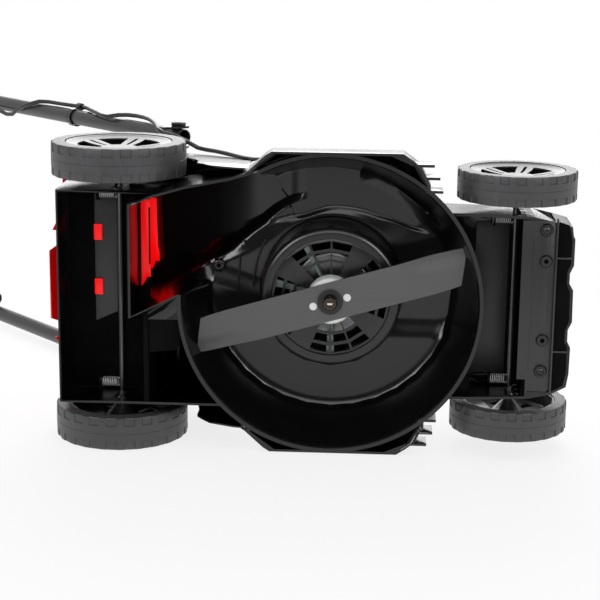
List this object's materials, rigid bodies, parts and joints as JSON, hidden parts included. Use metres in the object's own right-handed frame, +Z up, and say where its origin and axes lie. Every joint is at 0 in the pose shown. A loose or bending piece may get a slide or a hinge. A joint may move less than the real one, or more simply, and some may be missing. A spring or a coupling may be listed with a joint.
{
  "type": "cordless lawn mower",
  "caption": "Walk-behind cordless lawn mower with a bar blade under a moulded deck, height-adjustable axles, a rear flap, a folding handle and a battery bay.",
  "frame": {"origin": "middle of the bounding box on the ground under the wheels", "axes": "+Y towards the rear and the handle, +X towards the machine's left side, +Z up"},
  "size_m": [0.384, 1.1674, 0.9785],
  "materials": {
    "black_plastic": "satin moulded",
    "dark_grey_plastic": "satin moulded",
    "tyre_plastic": "matt",
    "red_plastic": "gloss moulded",
    "blade_steel": "rolled and sharpened",
    "zinc_steel": "bright zinc",
    "axle_steel": "dark drawn bar",
    "white_nylon": "matt moulded",
    "fan_plastic": "matt moulded",
    "motor_steel": "cast",
    "tube_enamel": "satin enamel",
    "foam": "foamed",
    "cable_rubber": "smooth"
  },
  "bodies": {
    "machine": {"deck_shell": "black_plastic", "front_bumper": "black_plastic", "bumper_screw_left": "zinc_steel", "bumper_screw_right": "zinc_steel", "motor_cover": "black_plastic", "drive_motor": "motor_steel", "flap_hinge_rod": "axle_steel", "flap_spring": "zinc_steel", "axle_spring_front_left": "zinc_steel", "axle_spring_front_right": "zinc_steel", "axle_spring_rear_left": "zinc_steel", "axle_spring_rear_right": "zinc_steel", "handle_bracket_left": "black_plastic", "handle_bracket_right": "black_plastic", "pivot_bolt_left": "dark_grey_plastic", "pivot_bolt_right": "dark_grey_plastic", "cable_lower": "cable_rubber", "cable_gland": "black_plastic", "top_hood": "black_plastic", "carry_handle": "black_plastic", "battery_bay": "black_plastic"},
    "front_axle": {"front_axle": "axle_steel"},
    "rear_axle": {"rear_axle": "axle_steel"},
    "cutter": {"blade": "blade_steel", "blade_washer": "axle_steel", "blade_bolt": "zinc_steel", "blade_hub": "white_nylon", "spindle": "axle_steel", "cooling_fan": "fan_plastic"},
    "rear_flap": {"rear_flap": "red_plastic"},
    "lower_handle": {"lower_handle_left": "tube_enamel", "lower_handle_right": "tube_enamel", "fold_bolt_left": "zinc_steel", "fold_bolt_right": "zinc_steel", "cable_clip_lower": "black_plastic", "cable_upper": "cable_rubber"},
    "upper_handle": {"upper_handle": "tube_enamel", "foam_grip": "foam", "switch_box": "black_plastic", "cable_clip_upper": "black_plastic"},
    "fold_lever_left": {"fold_lever_left": "red_plastic"},
    "fold_lever_right": {"fold_lever_right": "red_plastic"},
    "bail_lever": {"bail_lever": "tube_enamel"},
    "lock_button": {"lock_button": "red_plastic"},
    "battery_lid": {"battery_lid": "black_plastic"},
    "battery_pack": {"battery_pack": "dark_grey_plastic"},
    "safety_key": {"safety_key": "red_plastic"},
    "front_left_wheel": {"front_left_tyre": "tyre_plastic", "front_left_rim": "dark_grey_plastic", "front_left_cap": "dark_grey_plastic"},
    "front_right_wheel": {"front_right_tyre": "tyre_plastic", "front_right_rim": "dark_grey_plastic", "front_right_cap": "dark_grey_plastic"},
    "rear_left_wheel": {"rear_left_tyre": "tyre_plastic", "rear_left_rim": "dark_grey_plastic", "rear_left_cap": "dark_grey_plastic"},
    "rear_right_wheel": {"rear_right_tyre": "tyre_plastic", "rear_right_rim": "dark_grey_plastic", "rear_right_cap": "dark_grey_plastic"}
  },
  "joints": [
    {"name": "cutter_spin", "type": "hinge", "parent": "machine", "child": "cutter", "pos_m": [0, -0.28568, 0.035], "axis": [0, 0, 1], "continuous": true},
    {"name": "front_height", "type": "slide", "parent": "machine", "child": "front_axle", "axis": [0, 0, 1], "range_m": [-0.04, 0]},
    {"name": "front_left_wheel_spin", "type": "hinge", "parent": "front_axle", "child": "front_left_wheel", "pos_m": [0, -0.51068, 0.073], "axis": [1, 0, 0], "continuous": true},
    {"name": "front_right_wheel_spin", "type": "hinge", "parent": "front_axle", "child": "front_right_wheel", "pos_m": [0, -0.51068, 0.073], "axis": [1, 0, 0], "continuous": true},
    {"name": "rear_height", "type": "slide", "parent": "machine", "child": "rear_axle", "axis": [0, 0, 1], "range_m": [-0.04, 0]},
    {"name": "rear_left_wheel_spin", "type": "hinge", "parent": "rear_axle", "child": "rear_left_wheel", "pos_m": [0, -0.01968, 0.0835], "axis": [1, 0, 0], "continuous": true},
    {"name": "rear_right_wheel_spin", "type": "hinge", "parent": "rear_axle", "child": "rear_right_wheel", "pos_m": [0, -0.01968, 0.0835], "axis": [1, 0, 0], "continuous": true},
    {"name": "flap_lift", "type": "hinge", "parent": "machine", "child": "rear_flap", "pos_m": [0, -0.03168, 0.222], "axis": [1, 0, 0], "range_deg": [0, 85], "stiffness_Nm_per_rad": 0.3, "springref_deg": -28.65},
    {"name": "lower_fold", "type": "hinge", "parent": "machine", "child": "lower_handle", "pos_m": [0, -0.07368, 0.247], "axis": [1, 0, 0], "range_deg": [0, 126], "deforming": ["cable_lower"]},
    {"name": "upper_fold", "type": "hinge", "parent": "lower_handle", "child": "upper_handle", "pos_m": [0, 0.28765, 0.6483], "axis": [-1, 0, 0], "range_deg": [0, 170], "deforming": ["cable_upper"]},
    {"name": "fold_lever_left_open", "type": "hinge", "parent": "lower_handle", "child": "fold_lever_left", "pos_m": [0.131, 0.28765, 0.6483], "axis": [0, -0.7431, 0.6691], "range_deg": [0, 103]},
    {"name": "fold_lever_right_open", "type": "hinge", "parent": "lower_handle", "child": "fold_lever_right", "pos_m": [-0.131, 0.28765, 0.6483], "axis": [0, 0.7431, -0.6691], "range_deg": [0, 103]},
    {"name": "bail_pull", "type": "hinge", "parent": "upper_handle", "child": "bail_lever", "pos_m": [0, 0.49173, 0.87496], "axis": [-1, 0, 0], "range_deg": [0, 29.8], "stiffness_Nm_per_rad": 0.6, "springref_deg": -34.38},
    {"name": "lock_button_press", "type": "slide", "parent": "upper_handle", "child": "lock_button", "axis": [0, 0.7431, -0.6691], "range_m": [0, 0.005], "stiffness_N_per_m": 200, "springref_m": -0.003},
    {"name": "lid_open", "type": "hinge", "parent": "machine", "child": "battery_lid", "pos_m": [0, -0.38368, 0.2465], "axis": [1, 0, 0], "range_deg": [0, 100]},
    {"name": "battery_lift", "type": "slide", "parent": "machine", "child": "battery_pack", "axis": [0, 0, 1], "range_m": [0, 0.012]},
    {"name": "key_pull", "type": "slide", "parent": "machine", "child": "safety_key", "axis": [0, 0, 1], "range_m": [0, 0.02]}
  ]
}
